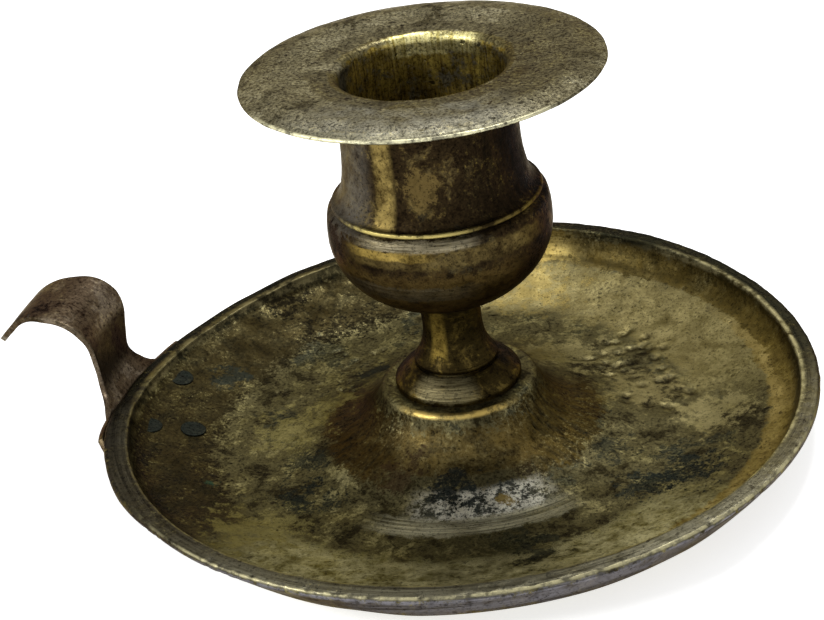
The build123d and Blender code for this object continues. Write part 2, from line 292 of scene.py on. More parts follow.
def outline(corners, pitch, closed=True):
    """Points along a path of (across, up, round) corners, no further apart than the pitch.

    A fourth value is the pitch from that corner on.
    """
    count = len(corners)
    path = []
    for place, (across, up, round_size, *own) in enumerate(corners):
        pitch = own[0] if own else pitch
        here = Vector((across, up))
        inside = closed or 0 < place < count - 1
        if round_size == 0 or not inside:
            path.append((here, pitch))
            continue
        arrive = (here - Vector(corners[place - 1][:2])).normalized()
        leave = (Vector(corners[(place + 1) % count][:2]) - here).normalized()
        turn = atan2(arrive.x * leave.y - arrive.y * leave.x, arrive.dot(leave))
        start = here - arrive * round_size * tan(abs(turn) / 2)
        side = 1 if turn > 0 else -1
        centre = start + Vector((-arrive.y, arrive.x)) * round_size * side
        arm = start - centre
        parts = max(3, ceil(round_size * abs(turn) / pitch))
        for part in range(parts + 1):
            swing = turn * part / parts
            along = arm.x * cos(swing) - arm.y * sin(swing)
            above = arm.x * sin(swing) + arm.y * cos(swing)
            path.append((centre + Vector((along, above)), pitch))
    if closed:
        path.append(path[0])
    points = [path[0][0]]
    for (before, step), (after, _) in zip(path, path[1:]):
        parts = max(1, ceil((after - before).length / step))
        points += [before.lerp(after, part / parts) for part in range(1, parts + 1)]
    return points


def start_vertex(name, place):
    """A new mesh object in edit mode with one selected vertex at a place."""
    bpy.ops.object.select_all(action="DESELECT")
    bpy.ops.mesh.primitive_plane_add(size=MM)
    piece = bpy.context.object
    piece.name = name
    piece.data.name = name
    bpy.ops.object.mode_set(mode="EDIT")
    bpy.ops.mesh.select_all(action="SELECT")
    bpy.ops.mesh.merge(type="CENTER")
    bpy.ops.transform.translate(value=place)
    return piece


def turned(name, points, steps):
    """Spins an outline of (radius, height) points about the candle axis into a closed piece."""
    piece = start_vertex(name, (points[0].x, 0, points[0].y))
    for before, after in zip(points, points[1:]):
        step = (after.x - before.x, 0, after.y - before.y)
        bpy.ops.mesh.extrude_region_move(TRANSFORM_OT_translate={"value": step})
    bpy.ops.mesh.select_all(action="SELECT")
    bpy.ops.mesh.spin(steps=steps, angle=2 * pi, center=(0, 0, 0), axis=(0, 0, 1))
    bpy.ops.mesh.select_all(action="SELECT")
    bpy.ops.mesh.remove_doubles(threshold=MERGE_DISTANCE)
    bpy.ops.mesh.normals_make_consistent(inside=False)
    bpy.ops.object.mode_set(mode="OBJECT")
    return piece


def make_active(piece):
    """Selects one piece and makes it the active object."""
    bpy.ops.object.select_all(action="DESELECT")
    piece.select_set(True)
    bpy.context.view_layer.objects.active = piece


def finish_modifier(piece, kind, **settings):
    """Adds a modifier with its settings and applies it."""
    make_active(piece)
    modifier = piece.modifiers.new(kind.title(), kind)
    for key, value in settings.items():
        setattr(modifier, key, value)
    bpy.ops.object.modifier_apply(modifier=modifier.name)


def roughen(piece, grain, depth, rule=None, finer=1):
    """Pushes a surface in and out by clouds of a grain size, where a rule of place allows it.

    The clouds have a number of finer layers. Grain and depth are in millimetres.
    """
    pattern = bpy.data.textures.new(piece.name + "_clouds", "CLOUDS")
    pattern.noise_scale = grain * MM
    pattern.noise_depth = finer
    group = ""
    if rule:
        weights = piece.vertex_groups.new(name="allowed")
        group = weights.name
        for vertex in piece.data.vertices:
            weights.add([vertex.index], rule(vertex.co), "REPLACE")
    finish_modifier(
        piece, "DISPLACE", texture=pattern, texture_coords="LOCAL", strength=depth * MM,
        mid_level=0.5, vertex_group=group,
    )
    piece.vertex_groups.clear()
    bpy.data.textures.remove(pattern)


def fade(value, low, high):
    """Smooth step from 0 at low to 1 at high, also where high is the smaller."""
    share = min(1.0, max(0.0, (value - low) / (high - low)))
    return share * share * (3 - 2 * share)


def between(keys, value):
    """Smooth passage through (value, amount) keys, level outside them."""
    for (low, first), (high, last) in zip(keys, keys[1:]):
        if low <= value <= high:
            return first + (last - first) * fade(value, low, high)
    return keys[0][1] if value < keys[0][0] else keys[-1][1]


def dent(piece, dents, allowed):
    """Presses hollows into a turned piece, where a rule of place allows it.

    Each is (azimuth, radius, half length around, half width across, depth). How deep each place is
    pressed is kept as an attribute, for the dirt and painted shade in the hollows.
    """
    pushes = []
    for vertex in piece.data.vertices:
        if not allowed(vertex.co):
            continue
        across = hypot(vertex.co.x, vertex.co.y)
        turn = atan2(vertex.co.y, vertex.co.x)
        push = 0.0
        for azimuth, radius, around, width, depth in dents:
            side = abs(across - radius)
            if side < width:
                swing = (turn - azimuth + pi) % (2 * pi) - pi
                reach = (swing * radius / around) ** 2 + (side / width) ** 2
                push = max(push, depth * max(0.0, 1 - reach) ** 2)
        if push:
            pushes.append((vertex, vertex.normal * push))
    marks = piece.data.attributes.new("pressed", "FLOAT", "POINT")
    for vertex, push in pushes:
        vertex.co -= push
        marks.data[vertex.index].value = min(1.0, push.length / FULL_DENT)


def add_node(tree, kind, sockets=None, out=0, ramp=None, **settings):
    """Adds a node, sets it up, links or sets its inputs, and gives the output that is asked for.

    The kind is the shader node's type without its first words. Inputs go by name, or by number
    where names repeat. A map range takes a value (0), the range that it comes from (1, 2) and the
    one that it goes to (3, 4). A colour mix takes its share (0) and two colours (6, 7).
    """
    node = tree.nodes.new("ShaderNode" + kind)
    for key, value in settings.items():
        setattr(node, key, value)
    for key, value in (sockets or {}).items():
        if isinstance(value, bpy.types.NodeSocket):
            tree.links.new(value, node.inputs[key])
        else:
            node.inputs[key].default_value = value
    if ramp:
        while len(node.color_ramp.elements) < len(ramp):
            node.color_ramp.elements.new(1.0)
        for element, (place, tone) in zip(node.color_ramp.elements, ramp):
            element.position = place
            element.color = tone
    return node.outputs[out] if len(node.outputs) else node


def within_arc(tree, outward, azimuth, arc):
    """One where a surface lies within an arc to each side of an azimuth, in degrees, else none."""
    towards = (cos(radians(azimuth)), sin(radians(azimuth)), 0)
    soft = min(14, 2 + 0.6 * arc)
    outer = cos(radians(min(arc + soft, 180)))
    inner = cos(radians(max(arc - soft, 1)))
    facing = add_node(
        tree, "VectorMath", {0: outward, 1: towards}, "Value", operation="DOT_PRODUCT"
    )
    return add_node(
        tree, "MapRange", {0: facing, 1: outer, 2: inner}, interpolation_type="SMOOTHSTEP"
    )


def aged_metal(
    name, tones, patch, speck, lines=(0.0, 0.4), ringed=False, edges=(), zones=(), stains=(),
    pits=0.5, specks=0.415, cloudy=0.8, wear=0.0, sheen=(0.3, 0.55),
):
    """Procedural tarnished metal, its lengths in millimetres and its angles in degrees.

    tones: dark, middle and light tarnish, bare metal, slate stain, and dirt, which in hollows also
    stands in as painted shade.
    patch, speck: sizes of the tarnish's patches and of its fine specks.
    lines: share of the radius in the height that the turning marks step by, and their spacing,
    which is coarser than the real tenth of a millimetre, because that would not show.
    ringed: whether turning marks show all over, and not a fine grain.
    edges: (radius, height, reach, azimuth, arc, tone, strength) of rings worn bare, and of painted
    highlights along edges.
    zones: (radius, height, half width, half height, azimuth, arc, low tone, high tone, strength,
    run) of bands with a finish of their own, and of painted highlight, light and shade, streaked
    "around" or "along" the candle axis, "ragged" or "flaked".
    stains: (place, size, tone, strength) of single stains, and of single painted highlights.
    pits, cloudy, wear: how strongly open pits, slate clouds and rubbed corners show.
    specks: how much of the surface dark specks take, from about 0.4 for some to 0.5 for half.
    sheen: roughness where the tarnish is thin and where it is thick.
    """
    dark, middle, light, bare, slate, dirt = tones
    material = bpy.data.materials.new(name)
    material.use_nodes = True
    tree = material.node_tree
    tree.nodes.clear()
    place = add_node(tree, "TexCoord", out="Object")
    swirl = add_node(
        tree, "TexNoise", {"Vector": place, "Scale": 1 / SWIRL, "Detail": 6.0}, "Color"
    )
    centred = add_node(tree, "VectorMath", {0: swirl, 1: (0.5, 0.5, 0.5)}, operation="SUBTRACT")
    drift = add_node(tree, "VectorMath", {0: centred, "Scale": DRIFT}, operation="SCALE")
    loose = add_node(tree, "VectorMath", {0: place, 1: drift}, operation="ADD")
    flat = add_node(tree, "VectorMath", {0: place, 1: (1, 1, 0)}, operation="MULTIPLY")
    radius = add_node(tree, "VectorMath", {0: flat}, "Value", operation="LENGTH")
    outward = add_node(tree, "VectorMath", {0: flat}, operation="NORMALIZE")
    height = add_node(tree, "SeparateXYZ", {0: place}, "Z")
    section = add_node(tree, "CombineXYZ", {"X": radius, "Z": height})

    # Tarnish in ragged patches of three depths, and slate clouds over it
    patches = 1 / (patch * MM)
    blotch = add_node(
        tree, "TexNoise",
        {"Vector": loose, "Scale": patches, "Detail": 13.0, "Roughness": 0.72, "Distortion": 0.2},
        "Fac",
    )
    tone = add_node(
        tree, "ValToRGB", {"Fac": blotch}, "Color",
        ramp=((0.41, dark), (0.465, middle), (0.52, middle), (0.575, light)),
    )
    cloud = add_node(
        tree, "TexNoise",
        {"Vector": loose, "Scale": 0.5 * patches, "Detail": 12.0, "Roughness": 0.7}, "Fac",
    )
    deep = add_node(
        tree, "MapRange", {0: cloud, 1: 0.56, 2: 0.6, 3: 0.0, 4: cloudy},
        interpolation_type="SMOOTHSTEP",
    )
    tone = add_node(tree, "Mix", {0: deep, 6: tone, 7: slate}, 2, data_type="RGBA")

    # Streaks that run around the axis, others that run along it, and a fine grain
    slant, spacing = lines
    coarse = add_node(tree, "VectorMath", {0: outward, "Scale": 1.6}, operation="SCALE")
    slope = add_node(tree, "Math", {0: radius, 1: slant, 2: height}, operation="MULTIPLY_ADD")
    pace = add_node(tree, "Math", {0: slope, 1: 1 / (spacing * MM)}, operation="MULTIPLY")
    lift = add_node(tree, "CombineXYZ", {"Z": pace})
    strung = add_node(tree, "VectorMath", {0: coarse, 1: lift}, operation="ADD")
    around = add_node(
        tree, "TexNoise", {"Vector": strung, "Scale": 1.0, "Detail": 6.0, "Roughness": 0.78}, "Fac"
    )
    close = add_node(tree, "VectorMath", {0: outward, "Scale": 24.0}, operation="SCALE")
    fall = add_node(tree, "Math", {0: radius, 1: -2.0, 2: height}, operation="MULTIPLY_ADD")
    rise = add_node(tree, "Math", {0: fall, 1: 1 / DRIP}, operation="MULTIPLY")
    upward = add_node(tree, "CombineXYZ", {"Z": rise})
    hung = add_node(tree, "VectorMath", {0: close, 1: upward}, operation="ADD")
    along = add_node(
        tree, "TexNoise", {"Vector": hung, "Scale": 1.0, "Detail": 6.0, "Roughness": 0.75}, "Fac"
    )
    fine = add_node(
        tree, "TexNoise",
        {"Vector": place, "Scale": 1 / (speck * MM), "Detail": 4.0, "Roughness": 0.8}, "Fac",
    )
    marks = around if ringed else fine
    scratch = add_node(tree, "MapRange", {0: marks, 1: 0.32, 2: 0.7, 3: 0.6, 4: 1.42})
    tone = add_node(tree, "VectorMath", {0: tone, "Scale": scratch}, operation="SCALE")

    # Bands with a finish of their own, and bands of painted highlight, light and shade
    ragged = add_node(
        tree, "TexNoise",
        {"Vector": place, "Scale": 1 / TATTER, "Detail": 10.0, "Roughness": 0.76}, "Fac",
    )
    tatter = add_node(tree, "Math", {0: fine, 1: 0.5, 2: ragged}, operation="MULTIPLY_ADD")
    runs = {
        "around": (around, 0.38, 0.6), "along": (along, 0.38, 0.6), "ragged": (ragged, 0.38, 0.6),
        "flaked": (tatter, 0.72, 0.81),
    }
    for out, up, half_width, half_height, azimuth, arc, low, high, strength, run in zones:
        off = add_node(
            tree, "VectorMath", {0: section, 1: (out * MM, 0, up * MM)}, operation="SUBTRACT"
        )
        share = add_node(
            tree, "VectorMath",
            {0: off, 1: (1 / (half_width * MM), 0, 1 / (half_height * MM))}, operation="MULTIPLY",
        )
        size = add_node(tree, "VectorMath", {0: share}, operation="ABSOLUTE")
        wide = add_node(tree, "SeparateXYZ", {0: size}, "X")
        far = add_node(tree, "Math", {0: wide, 1: wide.node.outputs["Z"]}, operation="MAXIMUM")
        torn = add_node(tree, "Math", {0: tatter, 1: 2.0, 2: far}, operation="MULTIPLY_ADD")
        band = add_node(
            tree, "MapRange", {0: torn, 1: 2.2, 2: 2.5, 3: strength, 4: 0.0},
            interpolation_type="SMOOTHSTEP",
        )
        shown = within_arc(tree, outward, azimuth, arc)
        amount = add_node(tree, "Math", {0: band, 1: shown}, operation="MULTIPLY")
        pattern, begin, end = runs[run]
        streaked = add_node(tree, "MapRange", {0: pattern, 1: begin, 2: end})
        own = add_node(
            tree, "Mix", {0: streaked, 6: linear(low), 7: linear(high)}, 2, data_type="RGBA"
        )
        tone = add_node(tree, "Mix", {0: amount, 6: tone, 7: own}, 2, data_type="RGBA")

    # Single stains and single painted highlights, with ragged edges
    for centre, size, stain, strength in stains:
        spot_place = tuple(part * MM for part in centre)
        away = add_node(
            tree, "VectorMath", {0: loose, 1: spot_place}, "Value", operation="DISTANCE"
        )
        share = add_node(tree, "Math", {0: away, 1: 1 / (size * MM)}, operation="MULTIPLY")
        near = add_node(tree, "Math", {0: tatter, 1: 5.0, 2: share}, operation="MULTIPLY_ADD")
        spot = add_node(
            tree, "MapRange", {0: near, 1: 4.2, 2: 4.45, 3: strength, 4: 0.0},
            interpolation_type="SMOOTHSTEP",
        )
        tone = add_node(tree, "Mix", {0: spot, 6: tone, 7: linear(stain)}, 2, data_type="RGBA")

    # Specks: dark ones of dirt and pale ones where the tarnish has flaked
    dull = add_node(
        tree, "MapRange", {0: fine, 1: specks - 0.055, 2: specks + 0.055, 3: 0.3, 4: 1.0}
    )
    tone = add_node(tree, "VectorMath", {0: tone, "Scale": dull}, operation="SCALE")
    flaked = add_node(tree, "MapRange", {0: fine, 1: 0.56, 2: 0.68, 3: 0.0, 4: 0.45})
    thin = add_node(tree, "MapRange", {0: blotch, 1: 0.48, 2: 0.58, 3: 0.06, 4: 1.0})
    bared = add_node(tree, "Math", {0: flaked, 1: thin}, operation="MULTIPLY")
    bend = add_node(tree, "NewGeometry", out="Pointiness")
    corner = add_node(
        tree, "MapRange", {0: bend, 1: 0.515, 2: 0.58, 3: 0.0, 4: wear},
        interpolation_type="SMOOTHSTEP",
    )
    bared = add_node(tree, "Math", {0: bared, 1: corner}, operation="MAXIMUM")
    tone = add_node(tree, "Mix", {0: bared, 6: tone, 7: bare}, 2, data_type="RGBA")

    # Edges worn bare, and painted highlights along edges that face the camera
    edge_breakup = add_node(tree, "MapRange", {0: ragged, 1: 0.42, 2: 0.54, 3: 0.1, 4: 1.0})
    for out, up, reach, azimuth, arc, shine, strength in edges:
        away = add_node(
            tree, "VectorMath", {0: section, 1: (out * MM, 0, up * MM)}, "Value",
            operation="DISTANCE",
        )
        near = add_node(
            tree, "MapRange",
            {0: away, 1: 0.35 * reach * MM, 2: reach * MM, 3: strength, 4: 0.0},
            interpolation_type="SMOOTHSTEP",
        )
        worn = add_node(tree, "Math", {0: near, 1: edge_breakup}, operation="MULTIPLY")
        shown = within_arc(tree, outward, azimuth, arc)
        amount = add_node(tree, "Math", {0: worn, 1: shown}, operation="MULTIPLY")
        tone = add_node(tree, "Mix", {0: amount, 6: tone, 7: linear(shine)}, 2, data_type="RGBA")

    # Dirt with painted shade in hollows, creases and dents of the surface, and dirt in single round
    # pits
    hollow = add_node(
        tree, "MapRange", {0: bend, 1: 0.44, 2: 0.492, 3: 0.75, 4: 0.0},
        interpolation_type="SMOOTHSTEP",
    )
    pressed = add_node(tree, "Attribute", out="Fac", attribute_name="pressed")
    # Dents darken by how deep they are pressed: dirt, and painted shade in their hollows
    dent_dirt_and_shade = add_node(tree, "Math", {0: pressed, 1: 0.65}, operation="MULTIPLY")
    hollow = add_node(tree, "Math", {0: hollow, 1: dent_dirt_and_shade}, operation="MAXIMUM")
    cell = add_node(tree, "TexVoronoi", {"Vector": loose, "Scale": 1 / PIT_PITCH}, "Distance")
    chance = add_node(tree, "SeparateColor", {0: cell.node.outputs["Color"]})
    bore = add_node(tree, "MapRange", {0: chance, 1: 0.5, 2: 1.0, 3: 0.0, 4: 0.3})
    deepness = add_node(tree, "Math", {0: bore, 1: cell}, operation="SUBTRACT")
    pit = add_node(
        tree, "MapRange", {0: deepness, 1: 0.0, 2: 0.05, 3: 0.0, 4: pits},
        interpolation_type="SMOOTHSTEP",
    )
    grime_and_shade = add_node(tree, "Math", {0: hollow, 1: pit}, operation="MAXIMUM")
    tone = add_node(tree, "Mix", {0: grime_and_shade, 6: tone, 7: dirt}, 2, data_type="RGBA")

    # A tarnish film takes the white sheen from the metal at low angles, so the tint is a dull gold
    shiny, dusty = sheen
    rough = add_node(tree, "MapRange", {0: blotch, 1: 0.4, 2: 0.6, 3: dusty, 4: shiny})
    relief = add_node(tree, "Math", {0: marks, 1: pit}, operation="SUBTRACT")
    bump = add_node(tree, "Bump", {"Height": relief, "Strength": 0.5, "Distance": BUMP_DEPTH})
    shader = add_node(
        tree, "BsdfPrincipled",
        {
            "Base Color": tone, "Metallic": 0.92, "Roughness": rough, "Normal": bump,
            "Specular Tint": linear("#a89c80"),
        },
    )
    add_node(tree, "OutputMaterial", {"Surface": shader})
    return material


def settle(piece, material, body, slot, *nodes):
    """Gives a finished piece its material, shading and body, and hides the nodes that it stands
    for. The slot is not used.
    """
    make_active(piece)
    piece.data.materials.clear()
    piece.data.materials.append(material)
    bpy.ops.object.shade_smooth_by_angle(angle=SMOOTH_ANGLE)
    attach(piece, body)
    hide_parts(*nodes)


def boss_seat():
    """Height of the boss's top, which the stem stands on."""
    return bpy.context.scene.chamberstick_pan.boss_height


def cup_seat():
    """Height of the stem's top, which the cup stands on."""
    return boss_seat() + bpy.context.scene.chamberstick_stem.height


def cup_mouth():
    """Height of the cup's mouth, which the nozzle's flange lies on."""
    return cup_seat() + bpy.context.scene.chamberstick_cup.height


# Where the rim is bent down or up, where its outer edge is hammered out and where its outer wall is
# pushed up: degrees around the pan, millimetres
RIM_SAG = (
    (20, 0.0), (40, -0.4), (54, -0.9), (66, -1.35), (82, -1.5), (100, -1.0), (118, 0.0), (132, 0.6),
    (145, 1.3), (156, 1.6), (166, 1.4), (183, 0.7), (189, 0.0),
)
RIM_SPREAD = ((186, 0.0), (196, 0.8), (214, 0.8), (232, 0.0))
WALL_LIFT = (
    (196, 0.0), (214, 0.8), (245, 1.1), (264, 0.2), (276, -0.4), (300, -0.4), (316, 0.0),
    (330, 0.6), (345, 0.7), (358, 0.0),
)


def bent_rim(place, pan):
    """Where a place near the rim comes to lie once the rim is bent and hammered."""
    across = hypot(place.x, place.y)
    turn = degrees(atan2(place.y, place.x)) % 360
    rim = pan.rim_diameter / 2
    shell = rim - 2.6 * MM
    bend = fade(place.z, 4.4 * MM, pan.rim_height) * fade(across, rim - 5 * MM, rim - 4 * MM)
    out = 1 + between(RIM_SPREAD, turn) * MM * fade(across, rim - pan.rim_width, rim) / rim
    skin = fade(across, rim - 9 * MM, shell) * fade(place.z, pan.rim_height - 0.6 * MM, 5 * MM)
    under = (across - pan.base_diameter / 2) * tan(pan.flank) + 0.5 * pan.wall
    lift = between(WALL_LIFT, turn) * skin if place.z < under or across > shell else 0.0
    up = (lift - between(RIM_SAG, turn) * bend) * MM
    return Vector((place.x * out, place.y * out, place.z + up))


class ChamberstickPan(bpy.types.Operator):
    """Turn the drip pan with its boss, bend its rim, and dent and nick it"""

    bl_idname = "chamberstick.drip_pan"
    bl_label = "Drip pan"

    def execute(self, context):
        pan = context.scene.chamberstick_pan
        colours = context.scene.chamberstick_colours
        rim = pan.rim_diameter / 2
        base = pan.base_diameter / 2
        slope = tan(pan.flank)
        flank_wall = pan.wall / cos(pan.flank)
        cove_foot = rim - pan.rim_width - pan.inner_lean
        knee_foot = rim - pan.outer_lean
        waist = (pan.boss_top / 2 + pan.boss_waist_spread, pan.boss_height - pan.boss_waist_drop)
        collar = atan2(pan.boss_waist_spread, pan.boss_waist_drop)
        skirt = atan2(pan.boss_foot / 2 - waist[0], waist[1] - pan.wall)
        share = pan.boss_wall / (1 + cos(skirt - collar))
        hollow = (
            waist[0] - share * (cos(collar) + cos(skirt)),
            waist[1] - share * (sin(collar) + sin(skirt)),
        )
        roof = pan.boss_height - pan.boss_roof
        edge = 0.5 * MM
        points = outline([
            (pan.stem_hole / 2, pan.boss_height, 0),
            (pan.boss_top / 2, pan.boss_height, 2 * edge),
            (*waist, pan.boss_waist_round),
            (pan.boss_foot / 2, pan.wall, pan.boss_blend),
            (base - (flank_wall - pan.wall) / slope, pan.wall, pan.flank_round),
            (cove_foot, (cove_foot - base) * slope + flank_wall, pan.cove, 0.35 * MM),
            (rim - pan.rim_width, pan.rim_height, edge / 2),
            (rim, pan.rim_height, edge),
            (rim, pan.rim_height - pan.rim_band, edge, 0.5 * MM),
            (knee_foot, (knee_foot - base) * slope, pan.knee, 2 * MM),
            (base, 0, pan.flank_round + pan.wall),
            (hollow[0] + hollow[1] * tan(skirt), 0, pan.boss_blend - pan.boss_wall),
            (*hollow, pan.boss_waist_round),
            (hollow[0] - (roof - hollow[1]) * tan(collar), roof, edge),
            (pan.stem_hole / 2, roof, 0),
        ], 0.5 * MM)
        piece = turned("pan_dented", points, steps=540)

        def upper(place):
            under = max(0.0, (hypot(place.x, place.y) - base) * slope)
            return place.z > under + 0.6 * pan.wall

        def inside(place):
            across = hypot(place.x, place.y)
            ring = fade(across, 14 * MM, 24 * MM) * fade(across, 51 * MM, 48 * MM)
            return upper(place) * ring

        def edges(place):
            across = hypot(place.x, place.y)
            return fade(place.z, 7.0 * MM, 7.8 * MM) * fade(across, 50.5 * MM, 51.1 * MM)

        # Hammer marks at the right and at the back left, chisel marks on the boss, nicks in the
        # rim: how many, degrees around the pan, then radius, half length, half width and depth
        dice = Random(5)
        edge_ring = (in_mm(rim), in_mm(rim) - 0.7)
        dents = []
        for count, *spans in (
            (44, (10, 54), (25, 37), (0.8, 1.3), (0.8, 1.3), (0.25, 0.45)),
            (22, (128, 168), (20, 34), (0.7, 1.4), (0.6, 0.9), (0.15, 0.32)),
            (16, (322, 356), (12.6, 18), (0.2, 0.35), (0.5, 1.1), (0.2, 0.4)),
            (60, (225, 350), edge_ring, (0.3, 0.8), (0.4, 0.7), (0.1, 0.25)),
        ):
            for _ in range(count):
                azimuth, *sizes = [dice.uniform(*span) for span in spans]
                dents.append((radians(azimuth), *(size * MM for size in sizes)))
        dent(piece, dents, upper)
        for vertex in piece.data.vertices:
            vertex.co = bent_rim(vertex.co, pan)
        roughen(piece, 5, 0.3, inside)
        roughen(piece, 1.6, 0.2, edges, finer=2)

        # Cast brass that has not been polished for long: an uneven brown-olive film with blue-black
        # and sooty places, so the eye gets a dull, mottled metal with soft lights, bare on edges.
        # Painted highlights lie on the front edges, the boss's ring and foot and the back inner
        # wall, painted light on the front and back of the floor, and painted shade on the left
        # flank and the boss's sides
        lip = in_mm(rim - pan.rim_width)
        flat = in_mm(pan.rim_height)
        boss = (in_mm(pan.boss_top / 2), in_mm(pan.boss_height) - 0.2)
        material = aged_metal(
            "Cast brass, mottled tarnish",
            (colours.pan_dark, colours.pan_mid, colours.pan_light, colours.flake, colours.slate,
             colours.soot),
            patch=6, speck=0.5, lines=(-1.0, 0.5), cloudy=0.75,
            edges=(
                # Front edge of the lip: worn bare, with a painted highlight on the side towards the
                # camera
                (lip, flat, 0.4, 296, 62, "#a0935c", 0.55),
                (lip, flat, 0.5, 208, 40, "#5d553a", 0.6),
                (lip, flat - 1.2, 1.5, 158, 28, "#7d7350", 0.6),
                # Front edge of the rim: worn bare, with a painted highlight on the side towards the
                # camera
                (in_mm(rim), flat, 0.5, 290, 58, "#cdc59a", 0.6),
                # Painted highlight along the front of the boss's ring
                (*boss, 0.8, 280, 40, "#c9ae62", 0.75),
                (lip, flat + 0.1, 0.9, 6, 18, "#a39a72", 0.7),
                (lip, flat + 0.5, 1.0, 36, 18, "#a39a72", 0.7),
            ),
            zones=(
                # Painted shade: the boss's left and right sides darker than its front, streaked
                # down the slope
                (17, 5.6, 5.6, 4.2, 205, 42, "#1d1506", "#392b0e", 0.85, "along"),
                (17, 5.6, 5.6, 4.2, 350, 40, "#1f1706", "#433510", 0.75, "along"),
                (15.6, 6.2, 3.4, 3.6, 284, 36, "#2b210d", "#6d5b2e", 0.65, "ragged"),
                # Painted highlight on the front of the boss's foot, broken into flakes
                (24, 2.3, 3.8, 1.5, 288, 17, "#3c403d", "#e6e3d0", 0.85, "flaked"),
                (28.4, 1.6, 2.4, 0.6, 284, 22, "#2e2a18", "#e0dab6", 0.55, "around"),
                # Painted shade: the pan's left flank darker
                (45, 4, 8, 4.5, 168, 62, "#120f06", "#2b2411", 0.85, "ragged"),
                # Painted reflection: the pan's front flank lighter, as if it mirrored the pale
                # floor
                (43, 3.5, 7.5, 4, 284, 44, "#5b5531", "#b4ac80", 0.75, "ragged"),
                # Painted light: the back of the pan's floor lighter, as if lit from above behind
                (42, 3.5, 8, 4, 60, 42, "#5d5330", "#867b52", 0.65, "ragged"),
                (48.4, 4.9, 2.4, 2.4, 345, 48, "#5f5029", "#8f7d4a", 0.75, "ragged"),
                (54.3, 5.0, 2.4, 3.4, 285, 80, colours.ash, colours.lilac, 0.95, "around"),
                (52.6, flat, 1.9, 0.5, 0, 180, "#363226", "#6a644e", 0.85, "around"),
                (52.6, flat, 1.9, 0.5, 285, 50, "#3d3a2e", "#6a6757", 0.75, "around"),
                (52.6, flat, 2.0, 2.8, 98, 92, "#0e100b", "#26261b", 0.92, "around"),
                (52.8, flat, 2.2, 0.8, 207, 32, "#1b1914", "#37342b", 0.92, "around"),
                # Painted highlight: a gold band on the inner wall at the back
                (50, 7.0, 1.5, 3.0, 95, 11, "#8a7434", "#dcc06c", 0.85, "around"),
                (49.6, 6.2, 1.9, 2.6, 46, 32, "#30280f", "#574921", 0.8, "ragged"),
            ),
            stains=(
                ((36, -12, 1.8), 6.5, colours.slate, 0.9),
                ((30.5, -16, 1.5), 5.5, colours.slate, 0.85),
                ((24, -7, 1.5), 4.5, colours.slate, 0.6),
                ((17, -34.6, 2), 5, colours.slate, 0.85),
                ((-20.4, -22, 1.5), 6, colours.slate, 0.85),
                ((-22, -12.5, 1.5), 5, colours.slate, 0.7),
                ((-17.5, 13.2, 2), 5, colours.slate, 0.8),
                ((-37.6, 31.6, 4.8), 5.5, colours.soot, 0.85),
                ((-41, 10.5, 3), 4, colours.slate, 0.7),
                ((26, 11, 1.5), 9, "#857a52", 0.5),
                ((38, 4, 2), 8, "#8a8058", 0.6),
                ((4, 43, 2.6), 9, "#94824a", 0.5),
                ((13, 21, 1.8), 9, "#8a8058", 0.6),
                ((-29, 27, 2.6), 5, colours.soot, 0.7),
                ((-22, 31, 2.6), 4.5, colours.soot, 0.6),
                ((-27, -3, 1.5), 8, "#7d7449", 0.6),
                ((-25, -31, 2.2), 9, "#7d7449", 0.6),
                ((-21, 3, 1.5), 5, "#7d7449", 0.6),
                ((-6, -18, 3.4), 4.5, "#35261a", 0.5),
                ((2.4, -20.5, 2.9), 4.2, "#2a302f", 0.8),
                ((10.6, -21.5, 2.3), 2.2, "#9a8448", 0.7),
                ((12.6, -15.4, 3.2), 2.2, "#241c10", 0.7),
                ((-35, -19.5, 2.4), 1.2, "#2f4a3c", 0.6),
            ),
        )
        settle(piece, material, STICK, "pan_brass", "drip_pan")
        return {"FINISHED"}


